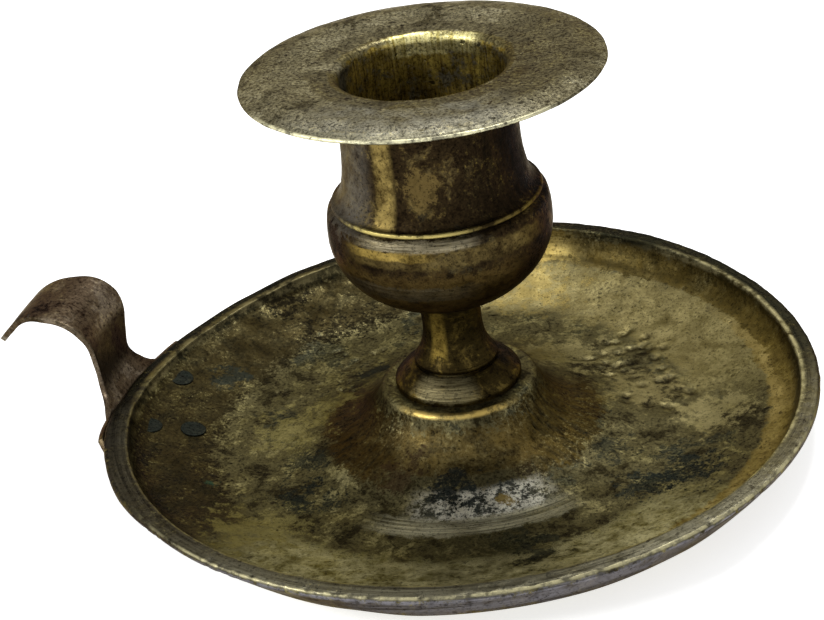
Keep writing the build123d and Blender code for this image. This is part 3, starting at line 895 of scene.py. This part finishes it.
class ChamberstickStem(bpy.types.Operator):
    """Turn the stem with its foot, astragal and neck"""

    bl_idname = "chamberstick.stem"
    bl_label = "Stem"

    def execute(self, context):
        stem = context.scene.chamberstick_stem
        colours = context.scene.chamberstick_colours
        seat = boss_seat()
        top = cup_seat()
        step_top = seat + stem.foot_rise
        ring_foot = step_top + stem.groove_width
        ring_top = ring_foot + stem.astragal_width
        neck = seat + stem.neck_rise
        drop = (stem.groove - stem.neck) / 2
        run = neck - ring_top
        bend = (run * run + drop * drop) / (2 * drop)
        sweep = [
            (stem.neck / 2 + bend * (1 - cos(swing)), neck - bend * sin(swing), 0)
            for swing in (2 * atan(drop / run) * part / 8 for part in range(8, -1, -1))
        ]
        corners = [
            (0, stem.tenon_end, 0),
            (stem.tenon / 2, stem.tenon_end, 0),
            (stem.tenon / 2, seat, 0),
            (stem.foot / 2, seat, 0),
            (stem.foot / 2, seat + stem.foot_edge, stem.foot_round),
            (
                (stem.foot + stem.step) / 4 + stem.foot_swell,
                seat + (stem.foot_edge + stem.foot_rise) / 2 + stem.foot_swell, 3 * MM,
            ),
            (stem.step / 2, step_top, 0),
            (stem.groove / 2, step_top, 0),
            (stem.groove / 2, ring_foot, 0),
            (stem.astragal / 2, ring_foot, 0.3 * MM),
            (stem.astragal / 2, ring_top, 0.3 * MM),
            *sweep,
            (stem.neck / 2, top - stem.top_flare, 4 * MM),
            (stem.top / 2, top, 0),
            (stem.tenon / 2, top, 0),
            (stem.tenon / 2, top + stem.spigot, 0),
            (0, top + stem.spigot, 0),
        ]
        piece = turned("stem_turned", outline(corners, 0.35 * MM), steps=192)
        roughen(piece, 3, 0.08)

        # Turned brass darkened by the hands that held it: the lathe's fine rings stay. The gold
        # strip down the neck is a painted highlight, and so is the silver band on the front of the
        # foot
        material = aged_metal(
            "Turned brass, dark tarnish",
            (colours.stem_dark, colours.stem_mid, colours.stem_light, colours.gold, colours.slate,
             colours.soot),
            patch=4, speck=0.5, lines=(-0.6, 0.2), ringed=True, pits=0.3, cloudy=0.2,
            zones=(
                # Painted highlight: a silver band on the front of the foot, over its turned rings
                (in_mm(stem.step / 2) + 1, in_mm(seat) + 2, 2.6, 1.6, 268, 26,
                 "#2c2716", "#918763", 0.75, "around"),
                # Painted highlight: a gold strip down the front left of the neck
                (in_mm(stem.neck / 2) + 0.8, in_mm(neck), 1.6, 4.5, 254, 11,
                 "#4a3c18", "#a08840", 0.8, "ragged"),
            ),
        )
        settle(piece, material, STICK, "stem_brass", "stem")
        return {"FINISHED"}


class ChamberstickCup(bpy.types.Operator):
    """Turn the urn-shaped candle cup with its bead"""

    bl_idname = "chamberstick.candle_cup"
    bl_label = "Candle cup"

    def execute(self, context):
        cup = context.scene.chamberstick_cup
        stem = context.scene.chamberstick_stem
        colours = context.scene.chamberstick_colours
        seat = cup_seat()
        mouth = cup_mouth()
        belly = seat + cup.belly_height
        shoulder = belly + cup.shoulder_rise
        bead_foot = shoulder + cup.bead_groove_width
        bead_top = bead_foot + cup.bead
        neck = belly + cup.neck_rise
        socket = stem.tenon / 2 + PLAY
        floor = seat + stem.spigot + cup.floor
        first = acos(stem.top / cup.belly)
        depth = cup.belly_height / sin(first)
        bowl = [
            (cup.belly / 2 * cos(first * share), belly - depth * sin(first * share), 0)
            for share in (1.0, 0.92, 0.84, 0.76, 0.68, 0.6, 0.52, 0.44, 0.36, 0.28, 0.2, 0.12, 0.04)
        ]
        shrink = (cup.belly - cup.shoulder) / 2
        crest = [
            (cup.belly / 2 - shrink * (1 - cos(share * pi / 2)),
             belly + cup.shoulder_rise * sin(share * pi / 2), 0)
            for share in (0.15, 0.35, 0.55, 0.75, 1.0)
        ]
        drop = (cup.flare_foot - cup.neck) / 2
        waist = [
            (cup.flare_foot / 2 - drop * sin(share * pi / 2),
             neck - (neck - bead_top) * cos(share * pi / 2), 0)
            for share in (0.0, 0.12, 0.24, 0.36, 0.48, 0.6, 0.72, 0.86, 1.0)
        ]
        corners = [
            *bowl,
            *crest,
            (cup.shoulder / 2 - cup.bead_groove, shoulder + cup.bead_groove_width / 2, 0),
            (cup.flare_foot / 2, bead_foot, 0),
            (cup.flare_foot / 2 + cup.bead_proud, bead_foot, 0.3 * MM),
            (cup.flare_foot / 2 + cup.bead_proud, bead_top, 0.3 * MM),
            *waist,
            (cup.neck / 2, mouth, 0),
            (cup.bore / 2, mouth, 0),
            (cup.bore / 2, floor, cup.floor_round),
            (0, floor, 0),
            (0, seat + stem.spigot + PLAY, 0),
            (socket, seat + stem.spigot + PLAY, 0),
            (socket, seat, 0),
        ]
        piece = turned("cup_turned", outline(corners, 0.5 * MM), steps=256)
        roughen(piece, 6, 0.1)

        # Turned brass browned by heat and smoke: a smooth brown film that hides the lathe's rings.
        # The gold on the bead and in a strip down the neck and the silver band under the bead are
        # painted highlights, the grey left of the neck a painted reflection, and the dark right
        # side painted shade
        bead = (in_mm(cup.flare_foot / 2 + cup.bead_proud), in_mm(bead_top - 0.3 * cup.bead), 0.5)
        neck_band = (in_mm(cup.neck / 2) + 1, in_mm(belly) + 14, 3.2, 12)
        crease = in_mm(cup.shoulder / 2)
        ledge = in_mm(shoulder)
        material = aged_metal(
            "Turned brass, brown tarnish",
            (colours.cup_dark, colours.cup_mid, colours.cup_light, colours.gold, colours.slate,
             colours.soot),
            patch=6, speck=0.5, lines=(0.0, 0.3), pits=0.4, cloudy=0.3,
            edges=(
                # Painted highlight along the bead, fading to painted shade at its right
                (*bead, 262, 32, "#f2e08c", 1.0),
                (*bead, 300, 80, "#6b5c30", 0.6),
            ),
            zones=(
                # Painted shade: the right side of the neck darker
                (*neck_band, 345, 40, "#0b0804", "#1c140b", 0.85, "along"),
                # Painted reflection: a grey sheen at the left of the neck
                (*neck_band, 208, 24, "#4a463f", "#706c64", 0.8, "ragged"),
                # Painted highlight: a gold strip down the neck
                (*neck_band, 252, 4, "#3d3015", "#a08b50", 0.8, "ragged"),
                # Painted light: the lower bowl lighter at the front left, towards the key lamp
                (14, in_mm(belly) - 5, 5, 5, 262, 60, "#392b14", "#7a6539", 0.65, "ragged"),
                # Painted highlight: a silver band under the bead at the front
                (crease, ledge - 0.6, 1.4, 0.9, 270, 24, "#57503c", "#b5aa8c", 0.75, "around"),
                (crease, ledge - 2.6, 1.4, 1.6, 286, 54, "#2c220f", "#74643a", 0.5, "ragged"),
                # Painted highlight: a gold stripe under the bead at the left
                (crease, ledge - 2, 1.4, 0.8, 256, 16, "#5a4a20", "#b79c50", 0.6, "ragged"),
                (in_mm(cup.belly / 2) - 1, in_mm(belly) - 4, 1.8, 1.6, 256, 38,
                 "#332d22", "#766e59", 0.55, "around"),
            ),
            stains=(
                ((1.2, -13.6, 47.5), 4.5, "#6d5c34", 0.6),
                ((7, -12, 52), 3.5, colours.cup_dark, 0.6),
            ),
        )
        settle(piece, material, STICK, "cup_brass", "candle_cup")
        return {"FINISHED"}


class ChamberstickNozzle(bpy.types.Operator):
    """Turn the drip nozzle with its wide flange and rolled lip"""

    bl_idname = "chamberstick.drip_nozzle"
    bl_label = "Drip nozzle"

    def execute(self, context):
        nozzle = context.scene.chamberstick_nozzle
        colours = context.scene.chamberstick_colours
        mouth = cup_mouth()
        top = mouth + nozzle.thickness
        rim = nozzle.flange / 2
        hole = nozzle.hole / 2
        tube = hole + nozzle.tube_wall
        low = mouth - nozzle.tube
        half = nozzle.edge / 2
        roll = [
            (rim - half - (nozzle.roll - half) * share,
             mouth + nozzle.edge + (nozzle.thickness - nozzle.edge) * sin(share * pi / 2), 0)
            for share in (0.0, 0.2, 0.4, 0.6, 0.8, 1.0)
        ]
        corners = [
            (hole, low, 0),
            (tube, low, 0),
            (tube, mouth, 0),
            (rim, mouth, half * 0.98),
            (rim, mouth + nozzle.edge, half * 0.98),
            *roll,
            (hole, top - nozzle.dish, nozzle.lip),
        ]
        piece = turned("nozzle_turned", outline(corners, 0.45 * MM), steps=320)
        roughen(piece, 4, 0.16, finer=2)

        # Turned brass eaten by hot wax: a pitted grey-bronze film on the flange, its front edge
        # worn bright and given a painted highlight, like its roll; and golden walls in the hole,
        # which the candle keeps clean, made lighter as painted light, with painted highlights on
        # the back wall and the lip
        edge = in_mm(rim)
        level = in_mm(mouth)
        face = in_mm(top - 0.5 * nozzle.dish)
        bore = in_mm(hole)
        material = aged_metal(
            "Turned brass, pitted bronze tarnish",
            (colours.nozzle_dark, colours.nozzle_mid, colours.nozzle_light, colours.bright,
             colours.slate, colours.soot),
            patch=4.5, speck=0.45, lines=(1.0, 0.5), pits=0.7, specks=0.46, cloudy=0.2,
            # The flange's front edge: worn bright, with a painted highlight on it
            edges=((edge, level + in_mm(half), 0.6, 272, 46, "#e4dfb8", 0.95),),
            zones=(
                # Painted highlight on the front of the flange's roll
                (edge - 0.8, level + 0.8, 1.2, 1.4, 275, 36, "#5a5747", "#989582", 0.65, "around"),
                (20, face, 5.5, 1.2, 278, 38, "#55534a", "#98968a", 0.5, "ragged"),
                (19, face, 8, 1.2, 5, 50, "#2f2b1e", "#5a543f", 0.5, "along"),
                (bore + 2.8, in_mm(top - nozzle.dish), 2.0, 0.6, 0, 180,
                 "#2e2a1c", "#5d5845", 0.55, "along"),
                (bore + 0.5, level + 0.3, 1.1, 0.9, 0, 180, "#39321d", "#6e6543", 0.8, "along"),
                # The hole's walls: clean gold brass, made lighter still as painted light against
                # the hole's shade
                (bore - 0.8, level - 9, 1.1, 10, 0, 180, "#4a3b15", "#b39a48", 0.95, "along"),
                # Painted light on the hole's back wall
                (bore - 0.8, level - 3, 1.1, 4.5, 95, 46, "#6a5620", "#b9a450", 0.85, "along"),
                # Painted highlight on the lip at the back of the hole
                (bore + 0.2, level - 0.7, 1.0, 1.8, 94, 26, "#b5a44f", "#fff6b4", 0.9, "along"),
            ),
        )
        settle(piece, material, NOZZLE, "nozzle_brass", "drip_nozzle")
        return {"FINISHED"}


class ChamberstickLoop(bpy.types.Operator):
    """Draw out the strip of the finger loop station by station, and give it its thickness"""

    bl_idname = "chamberstick.finger_loop"
    bl_label = "Finger loop"

    def execute(self, context):
        pan = context.scene.chamberstick_pan
        loop = context.scene.chamberstick_loop
        colours = context.scene.chamberstick_colours
        rim = pan.rim_diameter / 2
        base = pan.base_diameter / 2
        slope = tan(pan.flank)
        knee_foot = rim - pan.outer_lean
        knee_height = (knee_foot - base) * slope
        lean = atan2(pan.outer_lean, pan.rim_height - pan.rim_band - knee_height)
        lift = loop.seat + loop.thickness / 2
        share = lift / (1 + sin(pan.flank) * cos(lean) + cos(pan.flank) * sin(lean))
        knee = (
            knee_foot + share * (sin(pan.flank) + cos(lean)),
            knee_height - share * (cos(pan.flank) + sin(lean)),
        )
        inner = rim - loop.foot_reach
        neck = rim + loop.neck_reach
        crown = pan.rim_height + loop.curl_height
        tip = (rim + loop.tip_reach, pan.rim_height + loop.tip_height)
        path = outline([
            (inner, knee[1] - (knee[0] - inner) * slope, 0),
            (*knee, loop.knee),
            (neck, knee[1] + (neck - knee[0]) / tan(lean), loop.neck_bend),
            (neck, crown, loop.curl_bend),
            (rim + loop.crown_reach, crown, loop.crown_bend),
            (*tip, 0),
        ], 0.6 * MM, closed=False)
        foot_top = pan.rim_height - loop.foot_drop
        taper = neck + loop.thickness
        front = outline([
            (loop.root / 2, foot_top, 0),
            (loop.waist / 2, pan.rim_height + loop.waist_rise, 4 * MM),
            (loop.curl / 2, pan.rim_height + loop.curl_rise, 12 * MM),
            (loop.curl / 2, crown + loop.thickness, 0),
        ], 0.3 * MM, closed=False)
        run = tip[0] - loop.tip_round - taper
        fall = (loop.curl - loop.tip) / 2
        sweep = (run * run + fall * fall) / (2 * fall)
        end = loop.tip_round + loop.thickness / 2
        nose = (loop.tip * loop.tip / 4 + end * end) / (2 * end)

        def half_width(across, up):
            """Half the strip's width at a place on its path."""
            if up < knee[1] and across < knee[0]:
                spread = (across - inner) / (knee_foot - inner)
                widening = loop.foot / 2 + 5 * MM - loop.foot_end / 2
                return min(loop.foot / 2, loop.foot_end / 2 + widening * spread)
            if up < foot_top:
                return min(loop.foot / 2, loop.foot / 2 - loop.foot_cut + foot_top - up)
            if across < taper:
                return min(front, key=lambda place: abs(place.y - up)).x
            if across < tip[0] - loop.tip_round:
                ahead = across - taper
                return loop.curl / 2 - sweep + sqrt(sweep * sweep - ahead * ahead)
            ahead = across - (tip[0] + loop.thickness / 2 - nose)
            return sqrt(max(nose * nose - ahead * ahead, (0.6 * MM) ** 2))

        columns = 32
        stations = [(place.x, place.y, half_width(place.x, place.y)) for place in path]
        across, up, half = stations[0]
        piece = start_vertex("loop_bent", (-across, -half, up))
        bpy.ops.mesh.extrude_region_move(TRANSFORM_OT_translate={"value": (0, 2 * half, 0)})
        bpy.ops.mesh.select_all(action="SELECT")
        bpy.ops.mesh.subdivide(number_cuts=columns - 1)
        on_foot = True
        for (x0, z0, h0), (x1, z1, h1) in zip(stations, stations[1:]):
            if on_foot and z1 >= foot_top and x1 > knee_foot:
                on_foot = False
                mesh = bmesh.from_edit_mesh(piece.data)
                for vertex in mesh.verts:
                    if abs(vertex.co.y) > 1.02 * loop.root / 2:
                        vertex.select_set(False)
                mesh.select_flush_mode()
                bmesh.update_edit_mesh(piece.data)
                h0 = max(vertex.co.y for vertex in mesh.verts if vertex.select)
            step = (x0 - x1, 0, z1 - z0)
            bpy.ops.mesh.extrude_region_move(TRANSFORM_OT_translate={"value": step})
            bpy.ops.transform.resize(value=(1, h1 / h0, 1), center_override=(-x1, 0, z1))
        bpy.ops.mesh.select_all(action="SELECT")
        bpy.ops.mesh.normals_make_consistent(inside=False)
        bpy.ops.object.mode_set(mode="OBJECT")
        for vertex in piece.data.vertices:
            vertex.co.x = -sqrt(vertex.co.x ** 2 - vertex.co.y ** 2)
            side = fade(abs(vertex.co.y), 0.25 * loop.root, 0.45 * loop.root)
            wing = side * fade(vertex.co.z, foot_top + 3 * MM, foot_top)
            vertex.co = vertex.co.lerp(bent_rim(vertex.co, pan), wing)
        finish_modifier(
            piece, "SOLIDIFY", thickness=loop.thickness, offset=0.0, use_even_offset=True
        )
        finish_modifier(
            piece, "BEVEL", width=loop.edge_round, segments=2, limit_method="ANGLE",
            angle_limit=radians(50),
        )
        roughen(piece, 5, 0.12)

        # Brass sheet browned by hands: a copper-brown film without turning marks, paler on corners
        # that are rubbed, with a painted highlight at the tip
        material = aged_metal(
            "Brass sheet, copper-brown tarnish",
            (colours.loop_dark, colours.loop_mid, colours.loop_light, colours.flake, colours.soot,
             colours.soot),
            patch=10, speck=0.6, pits=0.2, cloudy=0.1, wear=0.15, sheen=(0.32, 0.5),
            zones=((56.5, 8, 3, 8, 0, 180, "#291c12", "#523f2c", 0.75, "along"),),
            # Painted highlight: a pale grey patch at the tip
            stains=(((-73.2, 0, 16.6), 8, "#85827e", 0.7),),
        )
        settle(piece, material, STICK, "loop_brass", "finger_loop")
        return {"FINISHED"}


class ChamberstickRivets(bpy.types.Operator):
    """Turn one rivet and set copies of it through the pan and the finger loop"""

    bl_idname = "chamberstick.rivets"
    bl_label = "Rivets"

    def execute(self, context):
        pan = context.scene.chamberstick_pan
        loop = context.scene.chamberstick_loop
        rivet = context.scene.chamberstick_rivets
        colours = context.scene.chamberstick_colours
        rim = pan.rim_diameter / 2
        base = pan.base_diameter / 2
        grip = pan.wall + 2 * loop.seat + loop.thickness
        head = loop.seat
        corners = [
            (0, head + rivet.head_height, 0),
            (rivet.head / 2, head + rivet.head_height, 0.5 * rivet.head_height),
            (rivet.head / 2, head, 0),
            (rivet.shank / 2, head, 0),
            (rivet.shank / 2, -grip, 0),
            (rivet.tail / 2, -grip, 0),
            (rivet.tail / 2, -grip - rivet.tail_height, 0.3 * MM),
            (0, -grip - rivet.tail_height, 0),
        ]
        first = turned("rivet_front", outline(corners, 0.3 * MM), steps=48)

        # Iron, hammered cold: blue-black and dull, so the heads show as dark spots on the brass
        material = aged_metal(
            "Iron rivet, blue-black",
            (colours.slate, colours.iron, colours.iron, colours.pan_mid, colours.slate,
             colours.soot),
            patch=3, speck=0.5, pits=0.2, cloudy=0.2, sheen=(0.5, 0.65),
        )
        places = (
            ("rivet_front", rivet.front_inset, rivet.front, "handle_rivet_front"),
            ("rivet_back", rivet.back_inset, rivet.back, "handle_rivet_back"),
            ("rivet_inner", rivet.inner_inset, rivet.inner, "handle_rivet_inner"),
        )
        copies = [first]
        for name, *_ in places[1:]:
            make_active(first)
            bpy.ops.object.duplicate()
            copies.append(context.object)
            context.object.name = name
            context.object.data.name = name
        for piece, (_, inset, azimuth, node) in zip(copies, places):
            out = rim - inset
            level = (out - base) * tan(pan.flank) + pan.wall / cos(pan.flank)
            make_active(piece)
            piece.location = (out * cos(azimuth), out * sin(azimuth), level)
            piece.rotation_euler = (0, -pan.flank, azimuth)
            bpy.ops.object.transform_apply(location=True, rotation=True, scale=True)
            roughen(piece, 1.5, 0.1)
            settle(piece, material, STICK, "rivet_iron", node)
        return {"FINISHED"}


class ChamberstickNut(bpy.types.Operator):
    """Give the nut under the boss its finish"""

    bl_idname = "chamberstick.stem_nut"
    bl_label = "Stem nut"

    def execute(self, context):
        colours = context.scene.chamberstick_colours
        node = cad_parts["stem_nut"]
        node.data.materials.clear()
        # Filed brass that stays dry under the boss: an even, dull brown with little shine
        node.data.materials.append(aged_metal(
            "Filed brass, dull tarnish",
            (colours.cup_dark, colours.cup_mid, colours.cup_light, colours.bright, colours.slate,
             colours.soot),
            patch=4, speck=0.4,
        ))
        return {"FINISHED"}


def seen_rays(tree):
    """One for rays that show what they meet to the eye, straight, mirrored or through glass."""
    rays = add_node(tree, "LightPath").node.outputs
    seen = add_node(
        tree, "Math", {0: rays["Is Camera Ray"], 1: rays["Is Glossy Ray"]}, operation="MAXIMUM"
    )
    return add_node(tree, "Math", {0: seen, 1: rays["Is Transmission Ray"]}, operation="MAXIMUM")


# In metres: the floor's side, what the lamps point at, and each lamp's place and side. Then its
# power in watts, the paper's own glow, and the camera's sensor in millimetres
FLOOR_SIDE = 6.0
LAMP_AIM = Vector((0, 0, 0.03))
LAMPS = (
    ("key", (-0.55, -0.45, 0.5), 0.2, 3.0),
    ("back", (0.05, 0.36, 0.85), 0.3, 4.5),
)
PAPER_GLOW = 0.7
SENSOR_WIDTH = 36.0


class ChamberstickStage(bpy.types.Operator):
    """Set up the floor, the lamps, the world and the camera"""

    bl_idname = "chamberstick.stage"
    bl_label = "Stage"

    def execute(self, context):
        settings = context.scene.chamberstick_stage
        scene = context.scene
        scene.view_settings.view_transform = "Standard"
        bpy.ops.object.select_all(action="DESELECT")
        bpy.ops.mesh.primitive_plane_add(size=FLOOR_SIDE)
        floor = context.object
        floor.name = "floor"

        # Matte white paper: no gloss, white to the eye, and grey only where the object shades it
        paper = bpy.data.materials.new("White paper")
        paper.use_nodes = True
        tree = paper.node_tree
        tree.nodes.clear()
        glow = add_node(tree, "Math", {0: seen_rays(tree), 1: PAPER_GLOW}, operation="MULTIPLY")
        lit = add_node(tree, "BsdfDiffuse", {"Color": linear("#f0f0f0")})
        white = add_node(tree, "Emission", {"Strength": glow})
        both = add_node(tree, "AddShader", {0: lit, 1: white})
        add_node(tree, "OutputMaterial", {"Surface": both})
        floor.data.materials.append(paper)

        world = bpy.data.worlds.new("Pale room")
        scene.world = world
        world.use_nodes = True
        tree = world.node_tree
        tree.nodes.clear()
        strength = add_node(
            tree, "MapRange", {0: seen_rays(tree), 1: 0.0, 2: 1.0, 3: settings.ambient, 4: 1.0}
        )
        sky = add_node(tree, "Background", {"Color": linear("#ffffff"), "Strength": strength})
        add_node(tree, "OutputWorld", {"Surface": sky})

        for name, place, side, power in LAMPS:
            bpy.ops.object.light_add(type="AREA", location=place)
            lamp = context.object
            lamp.name = name
            lamp.data.size = side
            lamp.data.energy = power
            aim = (LAMP_AIM - Vector(place)).to_track_quat("-Z", "Y")
            lamp.rotation_euler = aim.to_euler()

        bpy.ops.object.camera_add(location=settings.eye)
        camera = context.object
        look = (Vector(settings.aim) - Vector(settings.eye)).to_track_quat("-Z", "Y")
        camera.rotation_euler = (look @ Quaternion((0, 0, 1), settings.roll)).to_euler()
        camera.data.sensor_width = SENSOR_WIDTH
        camera.data.lens = settings.lens
        scene.camera = camera
        return {"FINISHED"}


OPERATORS = (
    ChamberstickPan,
    ChamberstickStem,
    ChamberstickNut,
    ChamberstickCup,
    ChamberstickNozzle,
    ChamberstickLoop,
    ChamberstickRivets,
    ChamberstickStage,
)

GROUPS = {
    "chamberstick_pan": PanSizes,
    "chamberstick_stem": StemSizes,
    "chamberstick_cup": CupSizes,
    "chamberstick_nozzle": NozzleSizes,
    "chamberstick_loop": LoopSizes,
    "chamberstick_rivets": RivetSizes,
    "chamberstick_colours": FinishColours,
    "chamberstick_stage": StageSettings,
}


class ChamberstickPanel(bpy.types.Panel):
    """Lists the chamberstick's pieces and sizes in the sidebar"""

    bl_idname = "VIEW3D_PT_chamberstick"
    bl_label = "Chamberstick"
    bl_space_type = "VIEW_3D"
    bl_region_type = "UI"
    bl_category = "Chamberstick"

    def draw(self, context):
        for operator in OPERATORS:
            self.layout.operator(operator.bl_idname)
        for name, group in GROUPS.items():
            box = self.layout.box()
            box.label(text=group.__doc__)
            for key in group.__annotations__:
                box.prop(getattr(context.scene, name), key)


def register():
    for name, group in GROUPS.items():
        bpy.utils.register_class(group)
        setattr(bpy.types.Scene, name, bpy.props.PointerProperty(type=group))
    for operator in OPERATORS:
        bpy.utils.register_class(operator)
    bpy.utils.register_class(ChamberstickPanel)


def unregister():
    bpy.utils.unregister_class(ChamberstickPanel)
    for operator in reversed(OPERATORS):
        bpy.utils.unregister_class(operator)
    for name, group in GROUPS.items():
        delattr(bpy.types.Scene, name)
        bpy.utils.unregister_class(group)


def main():
    register()
    bpy.ops.chamberstick.drip_pan()
    bpy.ops.chamberstick.stem()
    bpy.ops.chamberstick.stem_nut()
    bpy.ops.chamberstick.candle_cup()
    bpy.ops.chamberstick.drip_nozzle()
    bpy.ops.chamberstick.finger_loop()
    bpy.ops.chamberstick.rivets()
    bpy.ops.chamberstick.stage()


if __name__ == "__main__":
    main()
